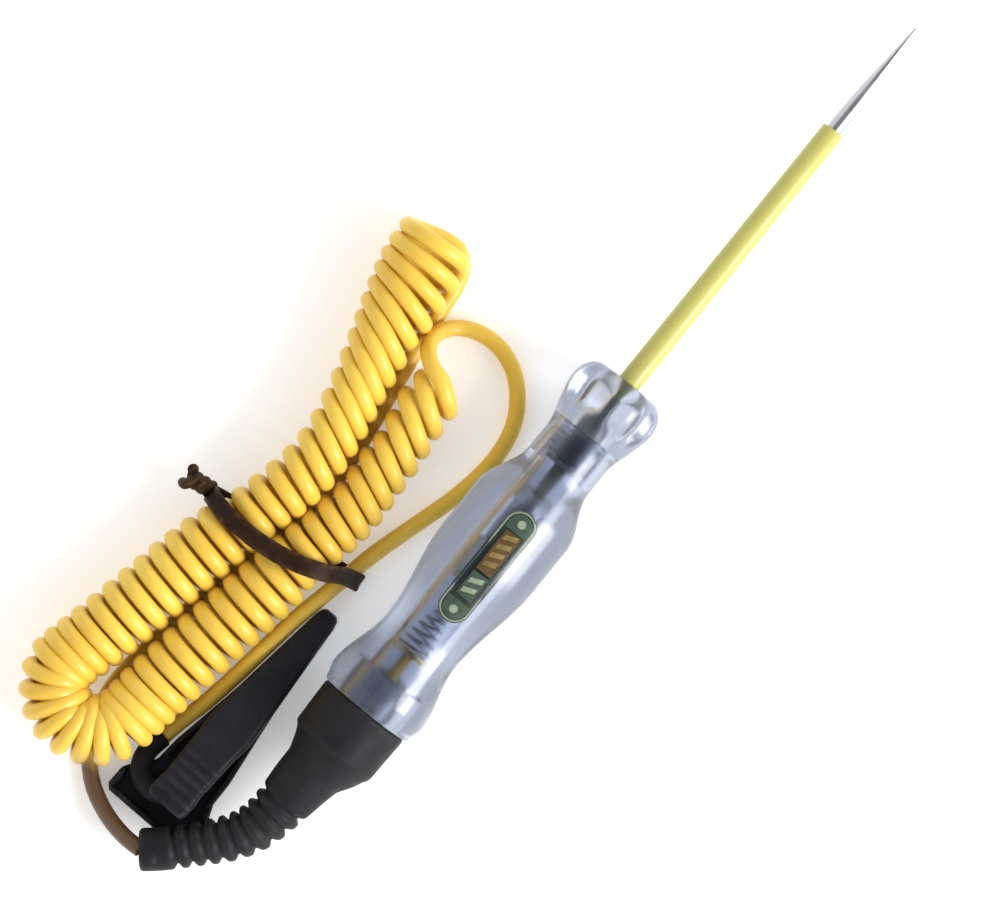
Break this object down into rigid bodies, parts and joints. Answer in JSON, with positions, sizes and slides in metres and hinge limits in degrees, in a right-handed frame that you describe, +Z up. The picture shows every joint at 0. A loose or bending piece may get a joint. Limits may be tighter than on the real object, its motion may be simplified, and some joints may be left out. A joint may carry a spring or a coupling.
{
  "type": "circuit test light",
  "caption": "Low-voltage circuit test light: clear handle with a lamp inside, insulated needle probe, retractable curly lead and spring clip.",
  "frame": {"origin": "on the ground under the middle of the tester's length, without its lead", "axes": "+X along the tester towards the needle point, +Y towards the coiled lead, +Z up"},
  "size_m": [0.2542, 0.0798, 0.0262],
  "materials": {
    "clear_plastic": "clear tinted plastic, polished",
    "badge": "printed badge, glossy",
    "brass": "turned",
    "needle_steel": "ground and polished",
    "yellow_sleeve": "extruded tube, glossy",
    "yellow_wire": "extruded insulation, satin",
    "plated_steel": "plated pressing",
    "spring_steel": "drawn spring wire",
    "lamp_glass": "clear",
    "black_rubber": "moulded, matt",
    "black_cover": "moulded soft plastic, satin",
    "tie_plastic": "plastic-coated wire"
  },
  "bodies": {
    "root": {"handle": "clear_plastic", "badge": "badge", "contact_spring": "spring_steel", "spring_disc": "brass", "lead_core": "yellow_wire", "rear_plug": "black_rubber", "strain_relief": "black_rubber", "cord_lead": "yellow_wire", "cord_coil": "yellow_wire", "cord_tail": "yellow_wire", "tail_sleeve": "black_rubber", "tie_band": "tie_plastic", "tie_twist": "tie_plastic", "clip_lower_cover": "black_cover", "clip_lower_jaw": "plated_steel", "clip_pin": "plated_steel", "clip_spring": "spring_steel", "clip_crimp": "plated_steel"},
    "lamp": {"lamp_glass": "lamp_glass", "lamp_base": "brass", "lamp_insulator": "black_rubber", "lamp_contact": "plated_steel", "lamp_posts": "plated_steel", "lamp_filament": "plated_steel"},
    "probe": {"nose_cap": "clear_plastic", "probe_bush": "brass", "probe_rod": "needle_steel", "probe_sleeve": "yellow_sleeve", "lamp_socket": "plated_steel"},
    "clip_upper": {"clip_upper_cover": "black_cover", "clip_upper_jaw": "plated_steel"}
  },
  "joints": [
    {"name": "lamp_slide", "type": "slide", "parent": "root", "child": "lamp", "axis": [1, 0, 0], "range_m": [0, 0.0075], "deforming": ["contact_spring"]},
    {"name": "cap_turn", "type": "hinge", "parent": "lamp", "child": "probe", "pos_m": [0, 0, 0.0128], "axis": [1, 0, 0], "range_deg": [0, 1800]},
    {"name": "clip_jaw", "type": "hinge", "parent": "root", "child": "clip_upper", "pos_m": [-0.12098, 0.02052, 0.0065], "axis": [-0.0349, -0.9994, 0], "range_deg": [0, 18], "stiffness_Nm_per_rad": 0.3, "springref_deg": -17.19, "deforming": ["clip_spring"]}
  ],
  "couplings": [
    {"joint": "cap_turn", "follows": "lamp_slide", "rad_per_m": 4188.8}
  ]
}
